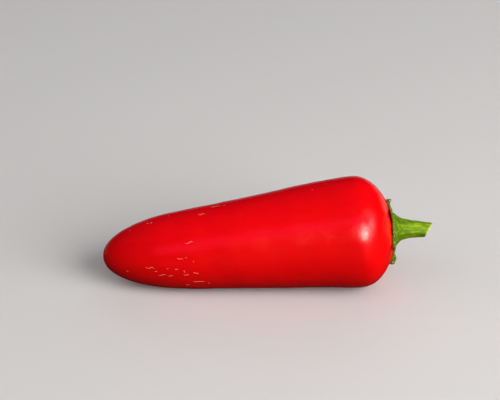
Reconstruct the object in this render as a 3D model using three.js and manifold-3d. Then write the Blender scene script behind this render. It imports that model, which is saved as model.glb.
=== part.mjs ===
// A ripe red chilli pepper of the short, blunt kind, lying on its side.
// Millimetres, +Z up. The tip points to -X and the cut stem to +X. The origin is the middle of the
// bounding box at the height of the surface that the pod lies on.
// Two pieces grew together: the red pod, and the green calyx with its stem.
import * as THREE from "three";
import { mergeVertices } from "three/addons/utils/BufferGeometryUtils.js";
import Module from "manifold-3d";

const wasm = await Module();
wasm.setup();

const DEGREE = Math.PI / 180;
const SEED = 7;
const MERGE_WITHIN = 1e-4; // vertices closer than this are one

// The pod: a blunt nose, an even taper and a broad rounded shoulder
const POD_LENGTH = 78.5; // from the tip to the flat end under the calyx
const SHOULDER_RADIUS = 15.05;
const SHOULDER_START = 68.7; // distance from the tip
const SHOULDER_POWER = 2.11; // 2 is a quarter ellipse, more is squarer
const TAPER = 0.1005; // radius lost for each millimetre towards the tip
const TAPER_EASE = 3.5; // length over which the taper fades into the shoulder
const NOSE_LENGTH = 20.2;
const NOSE_POWER = 2.22;
const SWELLS = [
  { at: 24.8, spread: 4.2, share: 0.009 }, // a slight belly behind the nose
  { at: 52, spread: 6, share: 0.0055 }, // and another before the shoulder
];
const BOW = [-0.33, 0.41, -0.2]; // sideways waves of the axis, of one, two and three half lengths
const LOBES = 3; // one for each chamber of the pod
const LOBE_SHARE = 0.012; // of the radius
const LOBE_TURN = 87 * DEGREE; // leaves a flatter side underneath
const LOBE_FROM = 4; // the nose is round, and the lobes come in along the pod
const LOBE_FULL = 34;
const DIMPLE_RADIUS = 5.2; // the sunken place that the stem grows out of
const DIMPLE_DEPTH = 1.3;
const AXIS_TILT = Math.atan(TAPER); // lays the tapered underside level
const REST_HALF_WIDTH = 2.2; // of the narrow flat that the pod lies on
const POD_SEGMENTS = 60;
const POD_RINGS = 52;

// Corking: short raised scars in the skin, mostly on the front half.
// along: millimetres from the tip. around: degrees from the side facing -Y, upwards.
// lean: degrees off the pod's length. wave: sideways swing in millimetres.
const CORK_HEIGHT = 0.12;
const CORK_WIDTH = 0.38;
const CORK_SUNK = 0.35;
const CORK_END = 0.6; // how far from its middle a scar's buried ends lie, as a share of its length
const CORK_TURNS = 1.5; // full swings of the wavy line
const CORK_STEPS = 4; // along a scar, and one more over the length of a long one
const LONG_SCAR = 2;
const CORK_SCARS = [
  { along: 13.2, around: 2.5, length: 2.7, lean: 0, wave: 0.14 },
  { along: 14.6, around: -4, length: 0.9, lean: 0, wave: 0.03 },
  { along: 16.2, around: -10.5, length: 2.3, lean: 11, wave: 0.06 },
  { along: 18.4, around: -12, length: 1.7, lean: 8, wave: 0.1 },
  { along: 17.9, around: 1, length: 0.6, lean: 0, wave: 0.02 },
  { along: 20.2, around: -0.5, length: 1.1, lean: -3, wave: 0.04 },
  { along: 22.2, around: -4.5, length: 0.6, lean: -76, wave: 0.02 },
  { along: 22.6, around: -10.5, length: 1.8, lean: -5, wave: 0.14 },
  { along: 25.2, around: -8, length: 1.5, lean: -19, wave: 0.05 },
  { along: 21.5, around: 15.5, length: 2, lean: -13, wave: 0.08 },
  { along: 23.1, around: 16.5, length: 0.6, lean: 21, wave: 0.02 },
  { along: 25, around: 10, length: 0.4, lean: 0, wave: 0 },
  { along: 24.3, around: 37.5, length: 2.5, lean: 9, wave: 0.1 },
  { along: 25.6, around: -24.5, length: 3.7, lean: -2, wave: 0.05 },
  { along: 28.2, around: -29, length: 0.7, lean: -50, wave: 0.02 },
  { along: 22.4, around: -32.5, length: 1.2, lean: 2, wave: 0.04 },
  { along: 6.8, around: -9, length: 0.6, lean: -19, wave: 0.02 },
  { along: 31.8, around: 94, length: 3.1, lean: -3, wave: 0.06 },
  { along: 34.2, around: 91.5, length: 0.7, lean: 23, wave: 0.03 },
  { along: 28, around: 80, length: 2, lean: -3, wave: 0.12 },
  { along: 19.1, around: 93, length: 0.4, lean: 0, wave: 0 },
  { along: 13.3, around: 86, length: 0.9, lean: -45, wave: 0.03 },
  { along: 14.4, around: 84, length: 0.7, lean: 34, wave: 0.03 },
  { along: 8.4, around: 84, length: 0.4, lean: 0, wave: 0 },
  { along: 57.9, around: 85, length: 0.4, lean: 0, wave: 0 },
  { along: 61.7, around: 92, length: 0.4, lean: 0, wave: 0 },
];
const HIDDEN_SCARS = 22; // drawn at random on the side facing +Y
const HIDDEN_ALONG = [9, 44];
const HIDDEN_AROUND = [112, 236];
const HIDDEN_LENGTH = [1.0, 3.4];
const HIDDEN_LEAN = [-16, 16];
const HIDDEN_WAVE = [0.03, 0.16];
const HIDDEN_NEARER_TIP = 1.4; // powers of a random share: over 1 favours the low end of the range
const HIDDEN_SHORTER = 1.6;

// The calyx: a bent green star that fills the dimple and stands off the rounded skin past it
const CLEARANCE = 0.34; // between the calyx and the skin under it
const CALYX_BASE = 6.1; // radius between the teeth
const CALYX_THICK = 0.85; // where it meets the stem
const RIM_THICK = 0.5;
const RIM_STEP = 0.1; // how far the upper edge of the rim stands in
const TIP_SWELL = 0.7; // how much thicker the blunt ends of the teeth are
const TIP_FROM = 6.5; // radius where they start to thicken
const TIP_FULL = 8.3;
const DISC_SET = 0.45; // how far the disc lies below the pod's end
const FLAT_FROM = 3.2; // radius where the underside starts to leave the skin
const FLAT_FULL = 5.8; // and where it is flat
const DISC_TILT = 0.04; // forwards on the upper side and back on the lower one, in mm for each mm
const BEND_TURN = 117 * DEGREE; // the two opposite sides where the disc bends back towards the tip
const BEND_SET = 0.65; // how far back it starts there
const BEND_LEAN = 0.26; // and how much it leans on, in mm for each mm
const TOOTH_POWER = 0.75; // under 1 is blunt, over 1 is pointed
const TEETH = [
  { around: 116, reach: 8.1, width: 21 },
  { around: 58, reach: 7.7, width: 18 },
  { around: -5, reach: 7.9, width: 20 },
  { around: -64, reach: 9.6, width: 17 },
  { around: -124, reach: 9.0, width: 20 },
  { around: 176, reach: 8.4, width: 19 },
];
const CALYX_SEGMENTS = 72;
const UNDER_RINGS = 7;
const TOP_RINGS = 5;

// The stem: short, flared where it leaves the calyx, five-sided, cut at a slant
const STEM_REACH = 9.7; // along X, from the pod's end to the middle of the cut
const STEM_DROP = 0.42; // of the cut's middle below the pod's end
const STEM_LOW = 0.15; // how far below the pod's axis it leaves the calyx
const STEM_BEND_AT = 3.5; // how far it keeps the pod's own direction
const STEM_RADIUS = 2.76;
const STEM_TAPER = 0.085; // radius lost for each millimetre
const FLARE_RADIUS = 4.6;
const FLARE_LENGTH = 1.6;
const FLARE_POWER = 1.2;
const STEM_RIBS = 5;
const RIB_SHARE = 0.045;
const RIBS_FULL = 0.3; // share of the stem's length where the ribs are fully grown
const CUT_FROM = 0.55; // share of the length from which the rings lean over to the cut
const CUT_SLANT = 21.5 * DEGREE; // of the cut's normal, below the horizontal
const CUT_TURN = 19.3 * DEGREE; // and towards -Y
const STEM_RINGS = 11;

// Repeatable numbers from 0 to 1.
function randomFrom(seed) {
  let state = seed;
  return () => {
    state = (state * 1664525 + 1013904223) % 4294967296;
    return state / 4294967296;
  };
}

const mix = (low, high, share) => low + (high - low) * share;

const smooth = (from, to, x) => THREE.MathUtils.smoothstep(x, from, to);

// The pod's own frame: along its axis, up from it, and out towards -Y
const ALONG = new THREE.Vector3(Math.cos(AXIS_TILT), 0, Math.sin(AXIS_TILT));
const UP = new THREE.Vector3(-Math.sin(AXIS_TILT), 0, Math.cos(AXIS_TILT));
const OUT = new THREE.Vector3(0, -1, 0);

// Sideways place of the bowed axis.
function bowAt(along) {
  const halfWave = (Math.PI * along) / POD_LENGTH;
  return BOW.reduce((sum, size, i) => sum + size * Math.sin((i + 1) * halfWave), 0);
}

function fromAxis(along, radius, around) {
  return new THREE.Vector3()
    .addScaledVector(ALONG, along)
    .addScaledVector(OUT, radius * Math.cos(around) + bowAt(along))
    .addScaledVector(UP, radius * Math.sin(around));
}

// Radius of the straight, even taper: the shoulder's radius less a ramp that starts softly.
function taperRadius(along) {
  const before = Math.max(0, SHOULDER_START - along);
  const ramp = before < TAPER_EASE ? before ** 2 / (2 * TAPER_EASE) : before - TAPER_EASE / 2;
  return SHOULDER_RADIUS - TAPER * ramp;
}

// Quarter of a superellipse: 1 at share 0, falling to 0 at share 1.
function roundOff(share, power) {
  return Math.max(0, 1 - THREE.MathUtils.clamp(share, 0, 1) ** power) ** (1 / power);
}

function podRadius(along) {
  const nose = roundOff(1 - along / NOSE_LENGTH, NOSE_POWER);
  const shoulder = roundOff((along - SHOULDER_START) / (POD_LENGTH - SHOULDER_START), SHOULDER_POWER);
  const swell = SWELLS.reduce((sum, s) => sum + s.share * Math.exp(-(((along - s.at) / s.spread) ** 2)), 1);
  return taperRadius(along) * nose * shoulder * swell;
}

// The pod is a little three-sided towards the shoulder.
function lobeShare(along, around) {
  return 1 + LOBE_SHARE * smooth(LOBE_FROM, LOBE_FULL, along) * Math.cos(LOBES * (around - LOBE_TURN));
}

function dimple(radius) {
  return radius < DIMPLE_RADIUS ? DIMPLE_DEPTH * (1 - (radius / DIMPLE_RADIUS) ** 2) ** 2 : 0;
}

// How far from the tip the skin of the pod's end lies, at a distance from the axis.
function endSkin(radius, around) {
  const plain = radius / lobeShare(SHOULDER_START, around);
  return mix(SHOULDER_START, POD_LENGTH, roundOff(plain / SHOULDER_RADIUS, SHOULDER_POWER)) - dimple(plain);
}

const skinPoint = (along, around) => fromAxis(along, podRadius(along) * lobeShare(along, around), around);

// Closed solid from a geometry whose coinciding vertices are merged and collapsed faces dropped.
function solidOf(geometry) {
  const bare = new THREE.BufferGeometry().setAttribute("position", geometry.getAttribute("position"));
  bare.setIndex(geometry.index);
  const merged = mergeVertices(bare, MERGE_WITHIN);
  const faces = merged.index.array;
  const kept = [];
  for (let i = 0; i < faces.length; i += 3) {
    const [a, b, c] = faces.slice(i, i + 3);
    if (a !== b && b !== c && a !== c) kept.push(a, b, c);
  }
  return new wasm.Manifold(
    new wasm.Mesh({
      numProp: 3,
      vertProperties: merged.attributes.position.array,
      triVerts: new Uint32Array(kept),
    }),
  );
}

function geometryOf(solid) {
  const { numProp, numVert, vertProperties, triVerts } = solid.getMesh();
  const position = new Float32Array(numVert * 3);
  for (let i = 0; i < numVert; i++) {
    position.set(vertProperties.subarray(i * numProp, i * numProp + 3), i * 3);
  }
  const geometry = new THREE.BufferGeometry()
    .setAttribute("position", new THREE.BufferAttribute(position, 3))
    .setIndex(new THREE.BufferAttribute(triVerts, 1));
  geometry.computeVertexNormals();
  return geometry;
}

// Skin over rings of points that all run the same way round, closed by a point at each end.
function skinOver(first, rings, last) {
  const points = [first, ...rings.flat(), last];
  const size = rings[0].length;
  const at = (ring, i) => 1 + ring * size + (i % size);
  const faces = [];
  for (let i = 0; i < size; i++) {
    faces.push(0, at(0, i), at(0, i + 1));
    for (let ring = 1; ring < rings.length; ring++) {
      faces.push(at(ring - 1, i), at(ring, i + 1), at(ring - 1, i + 1));
      faces.push(at(ring - 1, i), at(ring, i), at(ring, i + 1));
    }
    faces.push(at(rings.length - 1, i), points.length - 1, at(rings.length - 1, i + 1));
  }
  return new THREE.BufferGeometry().setFromPoints(points).setIndex(faces);
}

// The pod without its scars: a lathe about the axis, closer rings at both ends, then given its lobes.
// The profile runs from the stem end to the tip, because its own frame turns the lathe's round.
function podBody() {
  const profile = [];
  for (let i = 0; i <= POD_RINGS; i++) {
    const along = (POD_LENGTH * (1 + Math.cos((Math.PI * i) / POD_RINGS))) / 2;
    profile.push(new THREE.Vector2(podRadius(along), along));
  }
  const geometry = new THREE.LatheGeometry(profile, POD_SEGMENTS);
  const position = geometry.getAttribute("position");
  for (let i = 0; i < position.count; i++) {
    const plain = Math.hypot(position.getX(i), position.getZ(i));
    const around = Math.atan2(position.getX(i), position.getZ(i));
    const along = position.getY(i);
    const sunk = along > SHOULDER_START ? dimple(plain) : 0;
    const point = fromAxis(along - sunk, plain * lobeShare(along, around), around);
    position.setXYZ(i, point.x, point.y, point.z);
  }
  return solidOf(geometry);
}

// Height of the resting plane: it cuts the underside in a flat of the stated half width.
function restHeight() {
  const middle = (NOSE_LENGTH + SHOULDER_START) / 2;
  const radius = podRadius(middle);
  return skinPoint(middle, -90 * DEGREE).z + radius - Math.sqrt(radius ** 2 - REST_HALF_WIDTH ** 2);
}

function belowRest(height) {
  const cutter = new THREE.BoxGeometry(3 * POD_LENGTH, 3 * POD_LENGTH, POD_LENGTH);
  cutter.translate(0, 0, height - POD_LENGTH / 2);
  return solidOf(cutter);
}

// One scar: a low roof along a wavy line on the skin, sunk at both ends.
function scar({ along, around, length, lean, wave }) {
  const steps = length > LONG_SCAR ? CORK_STEPS + 1 : CORK_STEPS;
  const radius = podRadius(along);
  const spread = (CORK_WIDTH / 2) * ((CORK_HEIGHT + CORK_SUNK) / CORK_HEIGHT);
  const spot = (share, aside, height) => {
    const run = length * share;
    const swing = run * Math.sin(lean * DEGREE) + wave * Math.sin(2 * Math.PI * CORK_TURNS * share) + aside;
    const turn = around * DEGREE + swing / radius;
    const place = along + run * Math.cos(lean * DEGREE);
    return fromAxis(place, podRadius(place) * lobeShare(place, turn) + height, turn);
  };
  const rings = [];
  for (let i = 1; i < steps; i++) {
    const share = i / steps - 0.5;
    const crown = spot(share, 0, CORK_HEIGHT);
    rings.push([spot(share, -spread, -CORK_SUNK), crown, spot(share, spread, -CORK_SUNK)]);
  }
  return solidOf(skinOver(spot(-CORK_END, 0, -CORK_SUNK), rings, spot(CORK_END, 0, -CORK_SUNK)));
}

function hiddenScars() {
  const random = randomFrom(SEED);
  return Array.from({ length: HIDDEN_SCARS }, () => ({
    along: mix(...HIDDEN_ALONG, random() ** HIDDEN_NEARER_TIP),
    around: mix(...HIDDEN_AROUND, random()),
    length: mix(...HIDDEN_LENGTH, random() ** HIDDEN_SHORTER),
    lean: mix(...HIDDEN_LEAN, random()),
    wave: mix(...HIDDEN_WAVE, random()),
  }));
}

function pod() {
  const scars = [...CORK_SCARS, ...hiddenScars()].map(scar);
  const whole = scars.reduce((body, one) => body.add(one), podBody());
  return whole.subtract(belowRest(restHeight()));
}

// Radius of the star's edge: the tooth that reaches furthest in a direction, or the edge between teeth.
function rimRadius(around) {
  const reaches = TEETH.map((tooth) => {
    const off = THREE.MathUtils.euclideanModulo(around / DEGREE - tooth.around + 180, 360) - 180;
    const share = Math.max(0, Math.cos((Math.min(1, Math.abs(off) / tooth.width) * Math.PI) / 2));
    return mix(CALYX_BASE, tooth.reach, share ** TOOTH_POWER);
  });
  return Math.max(...reaches);
}

// Underside of the calyx: it follows the skin in the dimple, then goes on as a bent disc.
function calyxUnder(radius, around) {
  const side = Math.cos(around - BEND_TURN);
  const skin = endSkin(radius, around);
  const back = side ** 2 * (BEND_SET + BEND_LEAN * Math.max(0, radius - FLAT_FULL));
  const disc = POD_LENGTH - DISC_SET + DISC_TILT * radius * side - back;
  return Math.max(skin, mix(skin, disc, smooth(FLAT_FROM, FLAT_FULL, radius))) + CLEARANCE;
}

function flareRadius(height) {
  const flare = (FLARE_RADIUS - STEM_RADIUS) * Math.exp(-((height / FLARE_LENGTH) ** FLARE_POWER));
  return STEM_RADIUS - STEM_TAPER * height + flare;
}

function calyxAndStem() {
  const turns = Array.from({ length: CALYX_SEGMENTS }, (_, i) => (2 * Math.PI * i) / CALYX_SEGMENTS);
  const rings = [];
  for (let i = 1; i <= UNDER_RINGS; i++) {
    rings.push(
      turns.map((around) => {
        const radius = rimRadius(around) * (i / UNDER_RINGS);
        return fromAxis(calyxUnder(radius, around), radius, around);
      }),
    );
  }
  for (let i = 0; i < TOP_RINGS; i++) {
    const share = i / TOP_RINGS;
    rings.push(
      turns.map((around) => {
        const radius = mix(rimRadius(around) - RIM_STEP, FLARE_RADIUS, share);
        const thick = mix(RIM_THICK, CALYX_THICK, share) + TIP_SWELL * smooth(TIP_FROM, TIP_FULL, radius);
        return fromAxis(calyxUnder(radius, around) + thick, radius, around);
      }),
    );
  }
  const base = fromAxis(calyxUnder(FLARE_RADIUS, 0) + CALYX_THICK, 0, 0).addScaledVector(UP, -STEM_LOW);
  const end = fromAxis(POD_LENGTH, 0, 0).add(new THREE.Vector3(STEM_REACH, 0, -STEM_DROP));
  const path = new THREE.QuadraticBezierCurve3(base, base.clone().addScaledVector(ALONG, STEM_BEND_AT), end);
  const length = path.getLength();
  const cut = new THREE.Vector3(Math.cos(CUT_SLANT), 0, -Math.sin(CUT_SLANT));
  cut.applyAxisAngle(new THREE.Vector3(0, 0, 1), -CUT_TURN);
  for (let i = 0; i <= STEM_RINGS; i++) {
    const share = i / STEM_RINGS;
    const centre = path.getPointAt(share);
    const heading = path.getTangentAt(share);
    const above = new THREE.Vector3().crossVectors(OUT, heading);
    rings.push(
      turns.map((around) => {
        const rib = 1 + RIB_SHARE * smooth(0, RIBS_FULL, share) * Math.cos(STEM_RIBS * around);
        const radius = flareRadius(share * length) * rib;
        const spoke = OUT.clone().multiplyScalar(Math.cos(around)).addScaledVector(above, Math.sin(around));
        spoke.multiplyScalar(radius);
        const slide = (-spoke.dot(cut) / heading.dot(cut)) * smooth(CUT_FROM, 1, share);
        return centre.clone().add(spoke).addScaledVector(heading, slide);
      }),
    );
  }
  return solidOf(skinOver(fromAxis(calyxUnder(0, 0), 0, 0), rings, end));
}

const podSkin = new THREE.MeshStandardMaterial({ color: 0xc80a0c, roughness: 0.28, metalness: 0 });
const greenStem = new THREE.MeshStandardMaterial({ color: 0x6e9a1e, roughness: 0.6, metalness: 0 });

function named(name, solid, material) {
  const mesh = new THREE.Mesh(geometryOf(solid), material);
  mesh.name = name;
  return mesh;
}

const chilliPepper = new THREE.Group();
chilliPepper.add(named("pod", pod(), podSkin), named("calyx_and_stem", calyxAndStem(), greenStem));

const box = new THREE.Box3().setFromObject(chilliPepper);
chilliPepper.position.set(-(box.min.x + box.max.x) / 2, -(box.min.y + box.max.y) / 2, -restHeight());

export default chilliPepper;
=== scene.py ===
"""Looks of a ripe red chilli pepper lying on its side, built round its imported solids.

Three pieces: the waxy red pod, the tan corking scars that have grown out of its skin, and the green calyx
with its cut stem. Forms are worked out in millimetres, in the pod's own frame: along from the tip, up from
the axis, and out towards -Y. They are placed in the part's frame and turned into metres at the end.
"""

import logging
import math
from collections.abc import Iterator
from dataclasses import dataclass, field
from enum import Enum

import bpy
import numpy as np
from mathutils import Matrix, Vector


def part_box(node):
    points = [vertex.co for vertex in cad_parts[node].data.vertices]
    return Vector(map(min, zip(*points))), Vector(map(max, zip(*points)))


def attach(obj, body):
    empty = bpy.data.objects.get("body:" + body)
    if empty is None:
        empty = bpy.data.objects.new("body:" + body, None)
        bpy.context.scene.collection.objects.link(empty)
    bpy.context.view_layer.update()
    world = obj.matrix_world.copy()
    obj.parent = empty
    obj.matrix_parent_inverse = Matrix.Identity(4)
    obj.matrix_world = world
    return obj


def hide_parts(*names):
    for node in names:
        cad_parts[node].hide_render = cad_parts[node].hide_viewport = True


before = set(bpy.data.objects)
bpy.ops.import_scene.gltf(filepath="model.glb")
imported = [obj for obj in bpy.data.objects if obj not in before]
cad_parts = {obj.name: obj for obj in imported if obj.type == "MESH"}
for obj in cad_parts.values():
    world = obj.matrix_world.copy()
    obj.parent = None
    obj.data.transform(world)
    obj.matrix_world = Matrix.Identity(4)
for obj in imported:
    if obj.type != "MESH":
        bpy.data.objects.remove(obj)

log = logging.getLogger("chilli_pepper")

MM = 0.001
TURN = 2 * math.pi
DEGREE = math.pi / 180
Array = np.ndarray
Real = Array | float
Socket = bpy.types.NodeSocket
Node = bpy.types.Node
Object = bpy.types.Object
Material = bpy.types.Material
Colour = tuple[float, float, float, float]
Range = tuple[float, float]
Ring = tuple[Array, float, float, float]
Given = Socket | float | tuple[float, ...]
WHOLE: Range = (0, 1)


class Slot(Enum):
    """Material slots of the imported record."""

    POD = "pod_skin"
    STEM = "stem_green"


class Trait(Enum):
    """Point attributes that a mesh carries for its own material."""

    CUT = "cut_edge"
    RIM = "calyx_rim"
    RUN = "stem_run"
    AGE = "cork_age"
    GLOW = "glow_share"


def smooth(low: float, high: float, x: Real) -> Real:
    """Smooth step from 0 at low to 1 at high: 3t squared less 2t cubed."""
    t = np.clip((x - low) / (high - low), 0, 1)
    return t * t * (3 - 2 * t)


def mix(low: Real, high: Real, share: Real) -> Real:
    """Straight blend from low at share 0 to high at share 1."""
    return low + (high - low) * share


def round_off(share: Real, power: float) -> Real:
    """Quarter of a superellipse: 1 at share 0, falling to 0 at share 1."""
    return np.maximum(0, 1 - np.clip(share, 0, 1) ** power) ** (1 / power)


def circle(count: int) -> Array:
    """Angles spread evenly round a circle, from 0."""
    return np.linspace(0, TURN, count, endpoint=False)


def bell(x: Real, middle: float, spread: float) -> Real:
    """Bell curve: 1 at its middle, falling as the exponential of the square of the distance."""
    return np.exp(-(((x - middle) / spread) ** 2))


@dataclass(frozen=True)
class Waves:
    """A gentle random swell over a length and an angle: a sum of sine waves with seeded sizes and phases."""

    size: float
    longest: float
    shortest: float
    most_turns: int
    seed: int
    count: int = 9
    least_share: float = 0.4

    def at(self, along: Real, around: Real) -> Array:
        """Height of the swell.

        Args:
            along: Distance along the piece, in millimetres.
            around: Angle about its axis, in radians. Whole turns only, so the swell closes on itself.

        Returns:
            Height in millimetres, with about the stated size.
        """
        draw = np.random.default_rng(self.seed)
        total = np.zeros(np.broadcast(along, around).shape)
        for _ in range(self.count):
            length = draw.uniform(self.shortest, self.longest)
            turns = int(draw.integers(0, self.most_turns + 1))
            share = draw.uniform(self.least_share, 1.0)
            total += share * np.sin(TURN * along / length + turns * around + draw.uniform(0, TURN))
        return self.size * total / math.sqrt(self.count)


def cells(number: Array, after: Array) -> Array:
    """Corners of the cells of a grid, from its point numbers and those of the next column."""
    return np.stack([number[:-1], after[:-1], after[1:], number[1:]], axis=-1).reshape(-1, 4)


@dataclass(frozen=True)
class Skin:
    """A closed mesh given as rings of points with a pole at each end."""

    rings: Array
    first: Array
    last: Array

    def points(self) -> Array:
        """All points: the first pole, the rings in order, the last pole."""
        return np.vstack([self.first[None], self.rings.reshape(-1, 3), self.last[None]])

    def faces(self) -> list[list[int]]:
        """Quads between the rings and a fan of triangles at each pole, turned to face outwards.

        Returns:
            Lists of point numbers.
        """
        rows, size = self.rings.shape[:2]
        number = 1 + np.arange(rows * size).reshape(rows, size)
        after = np.roll(number, -1, axis=1)
        quads = cells(number, after)
        start = np.stack([np.zeros(size, int), after[0], number[0]], axis=-1)
        end = np.stack([np.full(size, rows * size + 1), number[-1], after[-1]], axis=-1)
        points = self.points()
        a, b, c, d = (points[quads[:, i]] for i in range(4))
        volume = np.einsum("ij,ij->i", a, np.cross(b, c) + np.cross(c, d)).sum()
        step = 1 if volume > 0 else -1
        return [face[::step] for group in (start, quads, end) for face in group.tolist()]


def linked(name: str, data: bpy.types.ID) -> Object:
    """Makes an object of a mesh, light or camera and puts it in the scene."""
    thing = bpy.data.objects.new(name, data)
    bpy.context.scene.collection.objects.link(thing)
    return thing


def mark(mesh: bpy.types.Mesh, trait: Trait, values: Array) -> None:
    """Adds a number for each point to a mesh."""
    attribute = mesh.attributes.new(trait.value, "FLOAT", "POINT")
    attribute.data.foreach_set("value", values.astype(np.float32))


def new_piece(name: str, skins: list[Skin], traits: dict[Trait, Array] | None = None) -> Object:
    """Makes one smooth object of one or more closed skins.

    Args:
        name: Name of the piece.
        skins: Closed skins, in millimetres in the part's frame.
        traits: A number for each point, for each attribute that the material reads.

    Returns:
        The new object, at the origin, in metres.
    """
    points, faces, offset = [], [], 0
    for skin in skins:
        own = skin.points()
        points.append(own)
        faces += [[offset + i for i in face] for face in skin.faces()]
        offset += len(own)
    mesh = bpy.data.meshes.new(name)
    mesh.from_pydata((np.vstack(points) * MM).tolist(), [], faces)
    mesh.polygons.foreach_set("use_smooth", np.ones(len(faces), bool))
    for trait, values in (traits or {}).items():
        mark(mesh, trait, values)
    mesh.update()
    log.info("%s: %d points, %d faces", name, offset, len(faces))
    return linked(name, mesh)


@dataclass
class PodForm:
    """The pod's form: a blunt nose, an even taper and a broad shoulder, slightly three-sided and bowed."""

    length: float = 78.5
    shoulder_radius: float = 15.05
    shoulder_start: float = 68.7
    shoulder_power: float = 2.11
    taper: float = 0.1005
    taper_ease: float = 3.5
    nose_length: float = 20.2
    nose_power: float = 2.22
    swells: tuple[tuple[float, float, float], ...] = ((24.8, 4.2, 0.009), (52, 6, 0.0055))
    bow: tuple[float, ...] = (-0.33, 0.41, -0.2)
    lobe_count: int = 3
    lobe_share: float = 0.012
    lobe_turn: float = 87 * DEGREE
    lobe_run: Range = (4, 34)
    dimple_radius: float = 5.2
    dimple_depth: float = 1.3
    rest_half_width: float = 2.2
    place: Array = field(default_factory=lambda: np.zeros(3))
    looks: tuple[int, int] = (900, 720)

    def __post_init__(self) -> None:
        """Works out the pod's own directions and the height of the surface it lies on."""
        tilt = math.atan(self.taper)
        self.along_axis = np.array([math.cos(tilt), 0, math.sin(tilt)])
        self.up_axis = np.array([-math.sin(tilt), 0, math.cos(tilt)])
        self.out_axis = np.array([0.0, -1.0, 0.0])
        middle = (self.nose_length + self.shoulder_start) / 2
        radius = float(self.radius(middle))
        under = float(self.skin(middle, -math.pi / 2)[2])
        self.rest_height = under + radius - math.sqrt(radius**2 - self.rest_half_width**2)

    def radius(self, along: Real) -> Array:
        """Plain radius: the taper times the rounding of the nose and of the shoulder, times the swells."""
        before = np.maximum(0, self.shoulder_start - along)
        eased = before**2 / (2 * self.taper_ease)
        ramp = np.where(before < self.taper_ease, eased, before - self.taper_ease / 2)
        nose = round_off(1 - along / self.nose_length, self.nose_power)
        end = (along - self.shoulder_start) / (self.length - self.shoulder_start)
        swell = 1 + sum(share * bell(along, at, spread) for at, spread, share in self.swells)
        shoulder = round_off(end, self.shoulder_power)
        return (self.shoulder_radius - self.taper * ramp) * nose * shoulder * swell

    def lobes(self, along: Real, around: Real) -> Real:
        """Share of the plain radius: one plus a cosine with three crests, coming in along the pod."""
        grown = smooth(*self.lobe_run, along)
        return 1 + self.lobe_share * grown * np.cos(self.lobe_count * (around - self.lobe_turn))

    def dimple(self, radius: Real) -> Real:
        """Depth of the sunken place under the calyx: a bell that ends level."""
        return self.dimple_depth * np.maximum(0, 1 - (radius / self.dimple_radius) ** 2) ** 2

    def end_skin(self, radius: Real, around: Real) -> Real:
        """Distance from the tip of the skin at the pod's end, at a distance from the axis."""
        plain = radius / self.lobes(self.shoulder_start, around)
        rounded = round_off(plain / self.shoulder_radius, self.shoulder_power)
        return mix(self.shoulder_start, self.length, rounded) - self.dimple(plain)

    def point(self, along: Real, radius: Real, around: Real) -> Array:
        """Point at a distance along the bowed axis, off it and around it.

        Args:
            along: Distance from the tip.
            radius: Distance from the axis.
            around: Angle up from the side that faces -Y.

        Returns:
            Points in the part's frame, in millimetres.
        """
        bow = sum(size * np.sin((i + 1) * math.pi * along / self.length) for i, size in enumerate(self.bow))
        out = np.asarray(radius * np.cos(around) + bow)[..., None] * self.out_axis
        up = np.asarray(radius * np.sin(around))[..., None] * self.up_axis
        return np.asarray(along)[..., None] * self.along_axis + out + up + self.place

    def skin(self, along: Real, around: Real) -> Array:
        """Point of the plain skin."""
        return self.point(along, self.radius(along) * self.lobes(along, around), around)

    def settle(self, low_corner: Vector) -> None:
        """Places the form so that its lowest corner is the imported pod's.

        Args:
            low_corner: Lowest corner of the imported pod's box, in metres.
        """
        along = np.linspace(0, self.length, self.looks[0])[:, None]
        around = np.linspace(0, TURN, self.looks[1])[None]
        lowest = self.skin(along, around).min(axis=(0, 1))
        shift = np.array(low_corner[:2]) / MM - lowest[:2]
        self.place = np.array([*shift, -self.rest_height])


@dataclass(frozen=True)
class Dent:
    """A shallow, soft-edged hollow in the skin, or a rise where its depth is below zero."""

    along: float
    around: float
    length: float
    width: float
    depth: float


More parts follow.
